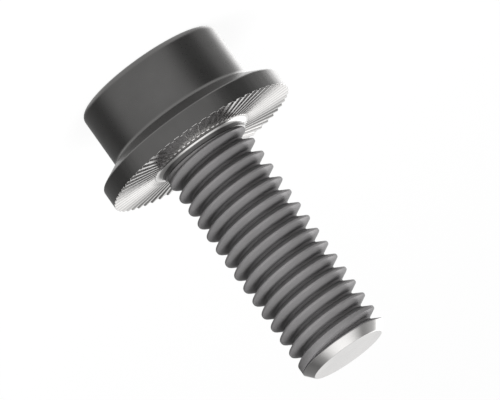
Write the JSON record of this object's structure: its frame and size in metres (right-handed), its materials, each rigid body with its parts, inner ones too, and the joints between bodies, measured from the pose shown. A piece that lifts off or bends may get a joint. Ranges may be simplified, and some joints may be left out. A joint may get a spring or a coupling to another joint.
{
  "type": "hex socket cap screw with ribbed flange",
  "caption": "Hex socket cap screw with a ribbed locking flange, a metric thread and a chamfered tip, for clamping parts together.",
  "frame": {"origin": "centre of the ribbed seat under the flange, in the plane of the rib crests", "axes": "+Z along the screw's axis, from the seat towards the tip"},
  "size_m": [0.0131, 0.013, 0.022],
  "materials": {
    "steel": "blackened steel with bright ribs, fillet and tip"
  },
  "bodies": {
    "root": {"cap_screw": "steel"}
  },
  "joints": []
}
